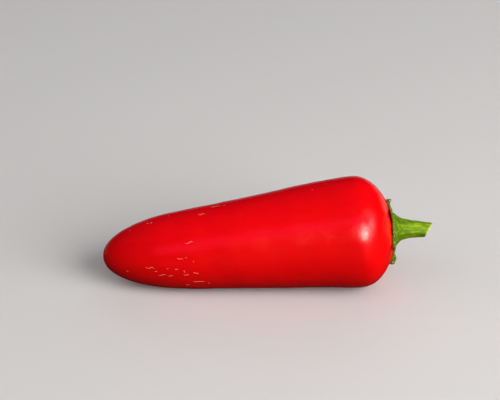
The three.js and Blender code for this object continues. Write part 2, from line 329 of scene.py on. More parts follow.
@dataclass
class Pod:
    """The red pod: its form with the small unevenness of a grown skin."""

    form: PodForm
    rings: int = 250
    end_rings: int = 70
    segments: int = 288
    end_from: float = 0.86
    swell: Waves = Waves(size=0.075, longest=46, shortest=15, most_turns=3, seed=11)
    ripple: Waves = Waves(size=0.016, longest=11, shortest=4, most_turns=9, seed=23)
    pucker_count: int = 7
    pucker_height: float = 0.16
    pucker_at: float = 7.4
    pucker_spread: float = 3.0
    pucker_sway: float = 0.6
    relief_run: Range = (0.5, 9.0)
    dents: tuple[Dent, ...] = (
        Dent(72.5, 24, 3.4, 3.8, 0.10), Dent(66.0, 12, 5.0, 4.0, -0.05),
        Dent(70.5, 64, 3.2, 3.6, 0.12), Dent(61.0, 151, 6.0, 4.4, 0.14),
        Dent(35.0, 196, 5.5, 3.4, 0.10), Dent(47.0, 251, 7.0, 4.2, 0.10),
    )

    def profile(self) -> tuple[Array, Array]:
        """The pod's outline: distance from the tip and plain radius, ring by ring.

        Rings crowd towards the tip as a cosine does. From the shoulder on they follow the radius inwards.
        """
        turn = mix(self.form.shoulder_start, self.form.length, self.end_from)
        along = turn * (1 - np.cos(math.pi / 2 * np.linspace(0, 1, self.rings + 1)[1:]))
        edge = float(self.form.radius(turn))
        inward = edge * np.linspace(1, 0, self.end_rings + 1)[1:-1]
        radius = self.form.radius(along)
        return np.concatenate([along, np.zeros_like(inward)]), np.concatenate([radius, inward])

    def relief(self, along: Array, radius: Array, around: Array) -> Array:
        """Height above the plain skin: broad swell, fine ripple, puckers round the calyx, and dents."""
        fade = smooth(*self.relief_run, along)
        height = fade * (self.swell.at(along, around) + self.ripple.at(along, around))
        near_end = np.where(along > self.form.shoulder_start, 1.0, 0.0)
        ring = bell(radius, self.pucker_at, self.pucker_spread) * near_end
        sway = self.pucker_sway * np.sin(2 * around)
        height += self.pucker_height * ring * np.cos(self.pucker_count * around + sway)
        for dent in self.dents:
            aside = np.angle(np.exp(1j * (around - dent.around * DEGREE))) * radius
            share = ((along - dent.along) / dent.length) ** 2 + (aside / dent.width) ** 2
            height -= dent.depth * np.exp(-share)
        return height

    def build(self) -> Object:
        """Makes the pod's mesh: each ring is moved out from the plain skin by its relief.

        Returns:
            The pod.
        """
        form = self.form
        along, plain = self.profile()
        around = circle(self.segments)
        at, turn = (grid.copy() for grid in np.broadcast_arrays(along[:, None], around[None]))
        radius = plain[:, None] * form.lobes(form.shoulder_start, turn)
        body, end = slice(0, self.rings), slice(self.rings, None)
        radius[body] = plain[body, None] * form.lobes(at[body], turn[body])
        at[end] = form.end_skin(radius[end], turn[end])
        slope_along, slope_out = np.gradient(at, axis=0), np.gradient(radius, axis=0)
        steep = np.hypot(slope_along, slope_out)
        height = self.relief(at, radius, turn)
        at = at - height * slope_out / steep
        radius = radius + height * slope_along / steep
        rings = form.point(at, radius, turn)
        first = form.point(0.0, 0.0, 0.0)
        last = form.point(form.end_skin(0.0, 0.0), 0.0, 0.0)
        rings[..., 2] = np.maximum(rings[..., 2], 0)
        return new_piece("pod_skin", [Skin(rings, first, last)])


@dataclass(frozen=True)
class Scar:
    """One corking scar: a wavy line on the skin.

    along is in millimetres from the tip, around in degrees up from the side that faces -Y, lean in degrees
    off the pod's length, and wave is the sideways swing of the line.
    """

    along: float
    around: float
    length: float
    lean: float
    wave: float
    width: float = 0.16


@dataclass
class Corking:
    """The tan scars, each a thin closed sliver sunk in the skin along its line."""

    form: PodForm
    steps: int = 18
    sides: int = 8
    height: float = 0.075
    sunk: float = 0.05
    seed: int = 7
    hidden: int = 26
    hidden_along: Range = (9, 46)
    hidden_around: Range = (112, 238)
    hidden_length: Range = (0.5, 3.4)
    hidden_wave: Range = (0.03, 0.16)
    hidden_lean: float = 16
    nearer_tip: float = 1.4
    mostly_short: float = 1.6
    taper_power: float = 0.55
    rough_share: float = 0.22
    crown_share: float = 0.4
    half_waves: int = 3
    phase: float = 0.4
    edge_seed: int = 1000
    seen: tuple[Scar, ...] = tuple(Scar(*row) for row in (
        (13.2, 2.5, 2.7, 0, 0.16), (14.6, -4, 0.9, 0, 0.03), (16.2, -10.5, 2.3, 11, 0.06),
        (18.4, -12, 1.7, 8, 0.1), (17.9, 1, 0.6, 0, 0.02, 0.14), (20.2, -0.5, 1.1, -3, 0.04),
        (22.2, -4.5, 0.7, -76, 0.02, 0.22), (22.6, -10.5, 1.8, -5, 0.16), (25.2, -8, 1.5, -19, 0.05),
        (21.5, 15.5, 2.0, -13, 0.08), (23.1, 16.5, 0.6, 21, 0.02, 0.14), (25.0, 10, 0.35, 0, 0),
        (24.3, 37.5, 2.5, 9, 0.1), (25.6, -24.5, 3.7, -2, 0.05, 0.12), (28.2, -29, 0.7, -50, 0.02),
        (22.4, -32.5, 1.2, 2, 0.04, 0.14), (6.8, -9, 0.6, -19, 0.02), (31.8, 94, 3.1, -3, 0.06),
        (34.2, 91.5, 0.7, 23, 0.03), (28.0, 80, 2.0, -3, 0.12), (19.1, 93, 0.35, 0, 0, 0.18),
        (13.3, 86, 0.9, -45, 0.03), (14.4, 84, 0.7, 34, 0.03), (8.4, 84, 0.35, 0, 0),
        (57.9, 85, 0.35, 0, 0), (61.7, 92, 0.35, 0, 0),
    ))

    def unseen(self) -> list[Scar]:
        """Scars for the side that faces +Y: more of them near the tip, drawn from one seed."""
        draw = np.random.default_rng(self.seed)
        found = []
        for _ in range(self.hidden):
            along = mix(*self.hidden_along, draw.random() ** self.nearer_tip)
            around = mix(*self.hidden_around, draw.random())
            length = mix(*self.hidden_length, draw.random() ** self.mostly_short)
            lean = draw.uniform(-self.hidden_lean, self.hidden_lean)
            found.append(Scar(along, around, length, lean, draw.uniform(*self.hidden_wave)))
        return found

    def sliver(self, scar: Scar, skin: Pod, number: int) -> Skin:
        """A flattened tube along the scar's line, thin at both ends and rough-edged.

        The section is an ellipse. Its half width tapers to the ends by a sine raised to a low power, and its
        middle lies under the skin, so that only the crown shows.

        Args:
            scar: The line.
            skin: The pod, for the height of its skin.
            number: Seed of the rough edge.

        Returns:
            A closed skin.
        """
        draw = np.random.default_rng(self.edge_seed + number)
        share = np.linspace(-0.5, 0.5, self.steps + 2)[1:-1]
        taper = np.sin(math.pi * (share + 0.5)) ** self.taper_power
        lean = scar.lean * DEGREE
        run = scar.length * share
        phase = draw.uniform(-self.phase, self.phase)
        swing = scar.wave * np.sin(self.half_waves * math.pi * share + phase)
        ahead = run * math.cos(lean) - swing * math.sin(lean)
        aside = run * math.sin(lean) + swing * math.cos(lean)
        rough = 1 + self.rough_share * draw.standard_normal(self.steps)
        half = scar.width / 2 * taper * rough
        side = circle(self.sides)
        across = half[:, None] * np.cos(side)[None]
        rise = (self.height * taper)[:, None] * np.sin(side)[None]
        along = scar.along + ahead[:, None] - across * math.sin(lean)
        radius = self.form.radius(along)
        around = scar.around * DEGREE + (aside[:, None] + across * math.cos(lean)) / radius
        base = radius * self.form.lobes(along, around) + skin.relief(along, radius, around)
        rings = self.form.point(along, base + rise - self.sunk * self.crown_share, around)
        end = scar.length * np.array([-0.5, 0.5])
        at = scar.along + end * math.cos(lean)
        radius = self.form.radius(at)
        turn = scar.around * DEGREE + end * math.sin(lean) / radius
        return Skin(rings, *self.form.point(at, radius * self.form.lobes(at, turn) - self.sunk, turn))

    def build(self, pod: Pod) -> Object:
        """Makes all slivers as one piece.

        Args:
            pod: The pod that they grow from.

        Returns:
            The scars, each point with its age, from 0, pale, to 1, tan.
        """
        scars = [*self.seen, *self.unseen()]
        slivers = [self.sliver(scar, pod, number) for number, scar in enumerate(scars)]
        draw = np.random.default_rng(self.seed + 1)
        age = np.concatenate([np.full(len(s.points()), draw.random()) for s in slivers])
        return new_piece("corking_scars", slivers, {Trait.AGE: age})


@dataclass(frozen=True)
class Tooth:
    """One tooth of the calyx: its direction, how far it reaches and its half width in degrees.

    curl is how far it lifts off the skin, and plump how far its end swells.
    """

    around: float
    reach: float
    width: float
    curl: float = 0.0
    plump: float = 0.4


@dataclass
class CalyxAndStem:
    """The green calyx, a bent star that fills the dimple, and the short flared stem with its slanted cut."""

    form: PodForm
    segments: int = 240
    clearance: float = 0.2
    base_radius: float = 6.1
    calyx_thick: float = 0.6
    rim_thick: float = 0.38
    tip_swell: float = 0.95
    tip_run: Range = (6.5, 8.3)
    flat_run: Range = (3.2, 5.8)
    disc_set: float = 0.45
    disc_tilt: float = 0.04
    bend_turn: float = 117 * DEGREE
    bend_set: float = 0.65
    bend_lean: float = 0.26
    tooth_power: float = 0.75
    teeth: tuple[Tooth, ...] = (
        Tooth(116, 8.1, 21, 0.05, plump=1.35),
        Tooth(58, 7.7, 18),
        Tooth(-5, 7.9, 20, 0.05),
        Tooth(-64, 9.6, 17, plump=1.0),
        Tooth(-124, 9.0, 20, 0.1),
        Tooth(176, 8.4, 19, 0.15),
    )
    stem_reach: float = 9.7
    stem_drop: float = 0.42
    stem_low: float = 0.15
    stem_bend_at: float = 3.5
    stem_radius: float = 2.76
    stem_taper: float = 0.085
    flare_radius: float = 4.6
    flare_length: float = 1.9
    flare_power: float = 1.2
    stem_ribs: int = 5
    rib_share: float = 0.045
    cut_slant: float = 21.5 * DEGREE
    cut_turn: float = 19.3 * DEGREE
    under_rings: int = 26
    rim_rings: int = 7
    top_rings: int = 22
    stem_rings: int = 90
    cut_rings: int = 22
    length_steps: int = 200
    curl_run: Range = (4.9, 9.0)
    curl_wave: float = 1.2
    curl_wave_at: float = 1.7
    vein_height: float = 0.16
    vein_width: float = 0.55
    vein_fade: Range = (1.6, 0.2)
    vein_start: float = 0.25
    mark_under: int = 8
    mark_top: int = 3
    rib_grown: float = 0.3
    slide_from: float = 0.55
    pale_from: float = 0.97
    cut_bands: tuple[tuple[float, float, float], ...] = ((0.10, 0.93, 0.05), (-0.12, 0.78, 0.08))
    pith_depth: float = 0.32
    pith_run: Range = (0.1, 0.72)
    cut_rough: float = 0.05
    cut_waves: int = 13
    cut_twist: int = 9
    rim_blunt: float = 0.75
    hug: float = 0.85
    hug_turn: float = -12 * DEGREE
    hug_side: Range = (0.25, 0.95)
    hug_run: Range = (6.5, 9.5)
    rim_wave: Waves = Waves(size=0.10, longest=5, shortest=2, most_turns=14, seed=31)
    streaks: Waves = Waves(size=0.035, longest=40, shortest=14, most_turns=34, seed=43, count=16)
    knobs: Waves = Waves(size=0.035, longest=3.2, shortest=1.2, most_turns=5, seed=57)

    def off_tooth(self, tooth: Tooth, around: Real) -> Real:
        """Angle off a tooth's middle line, in degrees, from -180 to 180."""
        return (around / DEGREE - tooth.around + 180) % 360 - 180

    def tooth_share(self, tooth: Tooth, around: Real) -> Real:
        """Share of a tooth's reach in a direction: a blunt arch, 1 at its middle and 0 past its width."""
        off = np.minimum(1, np.abs(self.off_tooth(tooth, around)) / tooth.width)
        return np.maximum(0, np.cos(off * math.pi / 2)) ** self.tooth_power

    def rim_radius(self, around: Array) -> Array:
        """Radius of the star's edge: the tooth that reaches furthest, or the edge between teeth."""
        base = self.base_radius
        reaches = [mix(base, tooth.reach, self.tooth_share(tooth, around)) for tooth in self.teeth]
        return np.max(reaches, axis=0) + self.rim_wave.at(0.0, around)

    def curl(self, radius: Real, around: Real) -> Real:
        """How far the outer part of each tooth lifts off, and the small waves of the edge."""
        out = smooth(*self.curl_run, radius)
        lifted = sum(tooth.curl * self.tooth_share(tooth, around) for tooth in self.teeth)
        wave = self.rim_wave.at(self.curl_wave_at, around)
        return out * (lifted + self.curl_wave * wave)

    def under(self, radius: Real, around: Real) -> Real:
        """Lower face, as distance from the tip: the disc's, filled out to the skin under the near edge."""
        gap = self.disc(radius, around) - self.form.end_skin(radius, around) - self.clearance
        front = smooth(*self.hug_side, np.cos(around - self.hug_turn))
        front = front * (1 - smooth(*self.hug_run, radius))
        return self.disc(radius, around) - self.hug * front * gap

    def disc(self, radius: Real, around: Real) -> Real:
        """The disc, as distance from the tip: on the skin in the dimple, then bent like a saddle."""
        side = np.cos(around - self.bend_turn)
        skin = self.form.end_skin(radius, around)
        back = side**2 * (self.bend_set + self.bend_lean * np.maximum(0, radius - self.flat_run[1]))
        bent = self.form.length - self.disc_set + self.disc_tilt * radius * side - back
        settled = np.maximum(skin, mix(skin, bent, smooth(*self.flat_run, radius)))
        return settled + self.clearance + self.curl(radius, around)

    def thickness(self, radius: Real, share: float, around: Real) -> Real:
        """Thickness from the rim, share 0, to the stem's flare, share 1, with thicker ends of the teeth."""
        plump = sum(tooth.plump * self.tooth_share(tooth, around) for tooth in self.teeth)
        swollen = self.tip_swell * plump * smooth(*self.tip_run, radius)
        return mix(self.rim_thick, self.calyx_thick, share) + swollen

    def veins(self, radius: Real, around: Array) -> Array:
        """Raised midrib of each tooth, fading at its tip and running up the flare."""
        total = np.zeros(np.broadcast(radius, around).shape)
        for tooth in self.teeth:
            line = bell(self.off_tooth(tooth, around) * DEGREE * radius, 0, self.vein_width)
            fade = (tooth.reach - before for before in self.vein_fade)
            total = total + line * (1 - smooth(*fade, radius))
        return self.vein_height * total

    def calyx_rings(self, around: Array) -> Iterator[Ring]:
        """Rings of the calyx: out under it, round its edge, and back over it to the flare.

        The edge is a blunt half of a superellipse between the two faces.

        Yields:
            Each ring, with how much it is rim, cut and stem.
        """
        point = self.form.point
        rim = self.rim_radius(around)
        edge = rim - self.rim_thick / 2
        low = self.under(edge, around)
        half = (self.disc(edge, around) + self.thickness(edge, 0, around) - low) / 2
        for share in np.linspace(0, 1, self.under_rings + 1)[1:]:
            radius = edge * share
            yield point(self.under(radius, around), radius, around), share**self.mark_under, 0, 0
        middle = low + half
        for turn in np.linspace(-math.pi / 2, math.pi / 2, self.rim_rings + 2)[1:-1]:
            radius = edge + self.rim_thick / 2 * math.cos(turn) ** self.rim_blunt
            across = math.copysign(abs(math.sin(turn)) ** self.rim_blunt, turn)
            yield point(middle + half * across, radius, around), 1, 0, 0
        for share in np.linspace(0, 1, self.top_rings, endpoint=False):
            radius = mix(edge, self.flare_radius, share)
            ribbed = self.veins(radius, around) * smooth(0, self.vein_start, share)
            rise = self.thickness(radius, share, around) + ribbed
            ring = point(self.disc(radius, around) + rise, radius, around)
            yield ring, (1 - share) ** self.mark_top, 0, 0

    def flare(self, height: float) -> float:
        """Stem radius above the calyx: a slow taper plus a flare that dies away as an exponential."""
        fall = np.exp(-((height / self.flare_length) ** self.flare_power))
        return mix(self.stem_radius, self.flare_radius, fall) - self.stem_taper * height

    def stem_line(self, share: Array) -> tuple[Array, Array, float]:
        """The stem's middle line: a parabola from the calyx, first in the pod's direction, then level.

        Args:
            share: Share of the line, from 0 at the calyx to 1 at the cut.

        Returns:
            Points, unit headings, and the length of the line.
        """
        form = self.form
        foot = self.disc(self.flare_radius, 0.0) - self.curl(self.flare_radius, 0.0)
        base = form.point(foot + self.calyx_thick, 0.0, 0.0) - self.stem_low * form.up_axis
        bend = base + self.stem_bend_at * form.along_axis
        end = form.point(form.length, 0.0, 0.0) + np.array([self.stem_reach, 0, -self.stem_drop])
        t = np.asarray(share)[:, None]
        heading = 2 * (1 - t) * (bend - base) + 2 * t * (end - bend)
        heading /= np.linalg.norm(heading, axis=1, keepdims=True)

        def line(s: Array) -> Array:
            """Points of the parabola."""
            return (1 - s) ** 2 * base + 2 * s * (1 - s) * bend + s**2 * end

        fine = line(np.linspace(0, 1, self.length_steps)[:, None])
        return line(t), heading, float(np.linalg.norm(np.diff(fine, axis=0), axis=1).sum())

    def stem_rings_at(self, around: Array) -> Iterator[Ring]:
        """Rings up the stem to the slanted cut, then inwards over the cut face.

        The section is a circle with five low ribs, fine streaks and a few knobs. Near the end each point
        slides along the stem until it lies on the plane of the cut. The cut face has a pale rim, a groove
        and a sunken pith.

        Yields:
            As calyx_rings.
        """
        shares = np.linspace(0, 1, self.stem_rings)
        centres, headings, length = self.stem_line(shares)
        flat = math.cos(self.cut_slant)
        ahead, aside = flat * math.cos(self.cut_turn), flat * math.sin(self.cut_turn)
        normal = np.array([ahead, -aside, -math.sin(self.cut_slant)])
        out = self.form.out_axis
        for share, centre, heading in zip(shares, centres, headings):
            above = np.cross(out, heading)
            grown = smooth(0, self.rib_grown, share)
            at = share * length
            rib = 1 + self.rib_share * grown * np.cos(self.stem_ribs * around)
            radius = self.flare(at) * rib
            radius = radius + self.streaks.at(at, around) + grown * self.knobs.at(at, around)
            radius = radius + (1 - grown) * self.veins(self.flare_radius, around)
            spoke = np.cos(around)[:, None] * out + np.sin(around)[:, None] * above
            spoke = spoke * radius[:, None]
            slide = -(spoke @ normal) / float(heading @ normal)
            slide = slide * smooth(self.slide_from, 1, share)
            ring = centre + spoke + slide[:, None] * heading
            yield ring, 0, smooth(self.pale_from, 1.0, share), share
        edge = ring - centre
        for share in np.linspace(1, 0, self.cut_rings + 1)[1:-1]:
            rise = sum(height * bell(share, at, spread) for height, at, spread in self.cut_bands)
            rise -= self.pith_depth * (1 - smooth(*self.pith_run, share))
            wave = np.sin(self.cut_waves * around + self.cut_twist * share)
            rise = rise + self.cut_rough * share * wave
            yield centre + edge * share + rise[:, None] * normal, 0, 1, 1

    def build(self) -> Object:
        """Makes the calyx and stem as one closed skin.

        Returns:
            The piece, with its rim, run and cut marked for the material.
        """
        around = circle(self.segments)
        rings, *marks = zip(*self.calyx_rings(around), *self.stem_rings_at(around))
        first = self.form.point(self.form.end_skin(0.0, 0.0) + self.clearance, 0.0, 0.0)
        skin = Skin(np.array(rings), first, rings[-1].mean(axis=0))
        traits = {
            trait: np.concatenate([[0.0], np.repeat(by_ring, self.segments), by_ring[-1:]])
            for trait, by_ring in zip((Trait.RIM, Trait.CUT, Trait.RUN), marks)
        }
        return new_piece("calyx_and_stem_skin", [skin], traits)


class NodeSheet:
    """A material's or group's node tree, with short calls to add and join nodes."""

    def __init__(self, tree: bpy.types.NodeTree) -> None:
        """Starts on an empty tree."""
        self.tree = tree
        tree.nodes.clear()

    def fill(self, node: Node, given: dict[str | int, Given]) -> None:
        """Gives a node's inputs, by name or number, a value each or a socket to join."""
        for key, value in given.items():
            if isinstance(value, Socket):
                self.tree.links.new(value, node.inputs[key])
            else:
                node.inputs[key].default_value = value

    def add(self, kind: str, given: dict[str | int, Given] | None = None, **settings: object) -> Node:
        """Adds a node.

        Args:
            kind: Its Blender type.
            given: What its inputs get.
            settings: Its other properties.

        Returns:
            The node.
        """
        node = self.tree.nodes.new(kind)
        for name, value in settings.items():
            setattr(node, name, value)
        self.fill(node, given or {})
        return node

    def trait(self, trait: Trait) -> Socket:
        """Reads a point attribute of the piece."""
        return self.add("ShaderNodeAttribute", attribute_name=trait.value).outputs["Fac"]

    def blended(self, share: Socket, low: Given, high: Given) -> Socket:
        """Blends two colours, from low where the share is 0 to high where it is 1."""
        return self.add("ShaderNodeMix", {0: share, 6: low, 7: high}, data_type="RGBA").outputs[2]

    def ranged(self, source: Socket, before: Range, after: Range) -> Socket:
        """Maps one range of numbers to another and clamps it."""
        ends = dict(zip(("From Min", "From Max", "To Min", "To Max"), (*before, *after)))
        return self.add("ShaderNodeMapRange", {"Value": source, **ends}, clamp=True).outputs["Result"]

    def product(self, one: Given, two: Given) -> Socket:
        """Multiplies two numbers."""
        return self.add("ShaderNodeMath", {0: one, 1: two}, operation="MULTIPLY").outputs["Value"]

    def total(self, one: Given, two: Given) -> Socket:
        """Adds two numbers."""
        return self.add("ShaderNodeMath", {0: one, 1: two}, operation="ADD").outputs["Value"]

    def axis(self, name: str, source: Socket) -> Socket:
        """Takes one axis of a vector."""
        return self.add("ShaderNodeSeparateXYZ", {"Vector": source}).outputs[name]

    def surface(self, source: Socket, kind: str = "Material") -> None:
        """Ends the tree of a material or world with its surface."""
        self.add("ShaderNodeOutput" + kind, {"Surface": source})

    def glossy(self) -> Socket:
        """Gives 1 in the gloss of things and 0 elsewhere."""
        return self.add("ShaderNodeLightPath").outputs["Is Glossy Ray"]


def new_material(name: str) -> Material:
    """Makes a material with a node tree."""
    material = bpy.data.materials.new(name)
    material.use_nodes = True
    return material


def mottle_group() -> bpy.types.NodeTree:
    """Builds the shared mottling: fractal noise pushed apart to a soft-edged mask.

    Returns:
        A group with Vector, Scale, Low and High in, and Mask and Noise out.
    """
    tree = bpy.data.node_groups.new("mottle", "ShaderNodeTree")
    tree.interface.new_socket("Vector", in_out="INPUT", socket_type="NodeSocketVector")
    for name, value in (("Scale", 100.0), ("Low", 0.4), ("High", 0.6)):
        socket = tree.interface.new_socket(name, in_out="INPUT", socket_type="NodeSocketFloat")
        socket.default_value = value
    for name in ("Mask", "Noise"):
        tree.interface.new_socket(name, in_out="OUTPUT", socket_type="NodeSocketFloat")
    sheet = NodeSheet(tree)
    given = sheet.add("NodeGroupInput").outputs
    look = {"Vector": given["Vector"], "Scale": given["Scale"], "Detail": 4.0, "Roughness": 0.6}
    noise = sheet.add("ShaderNodeTexNoise", look).outputs["Fac"]
    ends = {"Value": noise, "From Min": given["Low"], "From Max": given["High"]}
    spread = sheet.add("ShaderNodeMapRange", ends, interpolation_type="SMOOTHSTEP")
    sheet.add("NodeGroupOutput", {"Mask": spread.outputs["Result"], "Noise": noise})
    return tree


@dataclass(frozen=True)
class Grain:
    """A mottling's scale, the noise at which its mask is 0 and 1, and its stretch along X."""

    scale: float
    low: float
    high: float
    along: float = 1.0


@dataclass(frozen=True)
class Mottling:
    """What a mottling gives: its soft-edged mask and its plain noise."""

    mask: Socket
    noise: Socket


class Coating(NodeSheet):
    """A finish's tree: its shader, the piece's coordinates and the shared mottling."""

    def __init__(self, name: str, mottle: bpy.types.NodeTree, ior: float) -> None:
        """Starts a material."""
        self.material = new_material(name)
        super().__init__(self.material.node_tree)
        self.mottle = mottle
        self.place = self.add("ShaderNodeTexCoord").outputs["Object"]
        self.shader = self.add("ShaderNodeBsdfPrincipled", {"IOR": ior})
        self.surface(self.shader.outputs["BSDF"])

    def patches(self, grain: Grain) -> Mottling:
        """Adds the shared mottling with its own values."""
        place = self.add("ShaderNodeMapping", {"Vector": self.place, "Scale": (grain.along, 1, 1)})
        given = {"Scale": grain.scale, "Low": grain.low, "High": grain.high}
        given["Vector"] = place.outputs["Vector"]
        node = self.add("ShaderNodeGroup", given, node_tree=self.mottle)
        return Mottling(node.outputs["Mask"], node.outputs["Noise"])

    def finish(self, colour: Socket, roughness: Given, height: Socket, depth: float) -> Material:
        """Gives the shader its colour and roughness, and a bump of a depth in metres.

        Returns:
            The material.
        """
        bump = self.add("ShaderNodeBump", {"Distance": depth, "Strength": 1.0, "Height": height})
        look = {"Base Color": colour, "Roughness": roughness, "Normal": bump.outputs["Normal"]}
        self.fill(self.shader, look)
        return self.material


@dataclass(frozen=True)
class Finish:
    """What every finish has: a name, the shared mottling and how it takes light."""

    name: str
    mottle: bpy.types.NodeTree
    ior: float = 1.45
    noise_run: Range = (0.3, 0.7)

    def start(self) -> Coating:
        """Starts the material."""
        return Coating(self.name, self.mottle, self.ior)


@dataclass(frozen=True)
class WaxySkin(Finish):
    """Ripe red skin: a deep, even, waxy red with faint mottling and a fine grain."""

    red: Colour = (0.80, 0.0004, 0.0010, 1)
    deep: Colour = (0.72, 0.0002, 0.0014, 1)
    warm: Colour = (0.83, 0.0016, 0.0006, 1)
    broad: Grain = Grain(70.0, 0.38, 0.66)
    small: Grain = Grain(420.0, 0.42, 0.66, 0.6)
    fine: Grain = Grain(1500.0, 0.4, 0.6)
    roughness: Range = (0.17, 0.23)
    deep_range: Range = (0, 0.6)
    warm_range: Range = (0, 0.35)
    grain_weight: float = 1.6
    grain_depth: float = 0.000035

    def make(self) -> Material:
        """Makes the material."""
        sheet = self.start()
        broad, small, fine = (sheet.patches(grain) for grain in (self.broad, self.small, self.fine))
        colour = sheet.blended(sheet.ranged(broad.mask, WHOLE, self.deep_range), self.red, self.deep)
        colour = sheet.blended(sheet.ranged(small.mask, WHOLE, self.warm_range), colour, self.warm)
        rough = sheet.ranged(small.noise, self.noise_run, self.roughness)
        height = sheet.total(sheet.product(fine.noise, self.grain_weight), small.noise)
        return sheet.finish(colour, rough, height, self.grain_depth)


@dataclass(frozen=True)
class CorkyScar(Finish):
    """Dry, tan corking tissue, paler in the young scars."""

    pale: Colour = (0.88, 0.36, 0.25, 1)
    tan: Colour = (0.78, 0.24, 0.16, 1)
    blush: Colour = (0.78, 0.08, 0.055, 1)
    grain: Grain = Grain(5200.0, 0.4, 0.62)
    roughness: float = 0.75
    blush_range: Range = (0, 0.45)
    grain_depth: float = 0.00006

    def make(self) -> Material:
        """Makes the material."""
        sheet = self.start()
        grain = sheet.patches(self.grain)
        colour = sheet.blended(sheet.trait(Trait.AGE), self.pale, self.tan)
        colour = sheet.blended(sheet.ranged(grain.mask, WHOLE, self.blush_range), colour, self.blush)
        return sheet.finish(colour, self.roughness, grain.noise, self.grain_depth)


@dataclass(frozen=True)
class GreenStem(Finish):
    """Fibrous green: streaked along the stem, olive at the calyx's rim, pale at the fresh cut; the calyx and
    the stem's flare are painted darker green, as painted shade.
    """

    green: Colour = (0.130, 0.250, 0.0005, 1)
    dark: Colour = (0.045, 0.100, 0.0003, 1)
    light: Colour = (0.250, 0.400, 0.0050, 1)
    # Painted shade: darker green for the calyx and the stem's flare.
    flare_painted_shade: Colour = (0.052, 0.120, 0.0003, 1)
    olive: Colour = (0.150, 0.190, 0.0040, 1)
    brown: Colour = (0.120, 0.110, 0.0100, 1)
    fleck: Colour = (0.62, 0.68, 0.30, 1)
    cut: Colour = (0.34, 0.52, 0.030, 1)
    pith: Colour = (0.50, 0.62, 0.16, 1)
    streaks: Grain = Grain(2100.0, 0.42, 0.62, 0.10)
    blotches: Grain = Grain(520.0, 0.40, 0.60, 0.5)
    flecks: Grain = Grain(2300.0, 0.56, 0.62)
    roughness: Range = (0.45, 0.65)
    specular: float = 0.15
    # Run over which the painted shade gives way to plain green, and how strongly the streaks show from the
    # flare on.
    painted_shade_run: Range = (0.0, 0.42)
    streak_fade_in_painted_shade: Range = (0.4, 1)
    dark_range: Range = (0, 0.6)
    worn_rim: Range = (0.15, 1)
    worn_range: Range = (0, 0.55)
    fleck_rim: Range = (0, 0.5)
    fleck_range: Range = (0.05, 0.75)
    grain_depth: float = 0.00018

    def make(self) -> Material:
        """Makes the material."""
        sheet = self.start()
        rim, cut, run = (sheet.trait(trait) for trait in (Trait.RIM, Trait.CUT, Trait.RUN))
        grains = (self.streaks, self.blotches, self.flecks)
        streak, blotch, fleck = (sheet.patches(grain) for grain in grains)
        # Painted shade: the calyx and the flare are painted darker green, and the lighter streaks are faded
        # there.
        base = sheet.blended(sheet.ranged(run, self.painted_shade_run, WHOLE), self.flare_painted_shade, self.green)
        streaks_dimmed_in_painted_shade = sheet.product(streak.mask, sheet.ranged(run, self.painted_shade_run, self.streak_fade_in_painted_shade))
        colour = sheet.blended(streaks_dimmed_in_painted_shade, base, self.light)
        colour = sheet.blended(sheet.ranged(blotch.mask, WHOLE, self.dark_range), colour, self.dark)
        worn = sheet.blended(blotch.mask, self.olive, self.brown)
        colour = sheet.blended(sheet.ranged(rim, self.worn_rim, self.worn_range), colour, worn)
        spots = sheet.product(fleck.mask, sheet.ranged(rim, self.fleck_rim, self.fleck_range))
        colour = sheet.blended(spots, colour, self.fleck)
        fresh = sheet.blended(streak.mask, self.cut, self.pith)
        colour = sheet.blended(cut, colour, fresh)
        rough = sheet.ranged(streak.noise, self.noise_run, self.roughness)
        sheet.fill(sheet.shader, {"Specular IOR Level": self.specular})
        height = sheet.total(streak.noise, blotch.noise)
        return sheet.finish(colour, rough, height, self.grain_depth)


@dataclass(frozen=True)
class Softbox:
    """An oval area light, which either shines on things or is only mirrored in their gloss.

    turn is in degrees to the right of the side that faces -Y, and height in degrees above the level. width
    and length are the angles that it spans, seen from the pod.
    """

    name: str
    turn: float
    height: float
    width: float
    length: float
    radiance: float
    colour: tuple[float, float, float] = (1.0, 1.0, 1.0)
    mirrored: bool = False
    distance: float = 1.0

    def span(self, angle: float) -> float:
        """Size in metres that spans an angle."""
        return 2 * self.distance * math.tan(angle / 2 * DEGREE)

    def watts(self) -> float:
        """Power that gives the stated radiance: pi times the oval's area times the radiance."""
        area = math.pi / 4 * self.span(self.width) * self.span(self.length)
        return math.pi * area * self.radiance


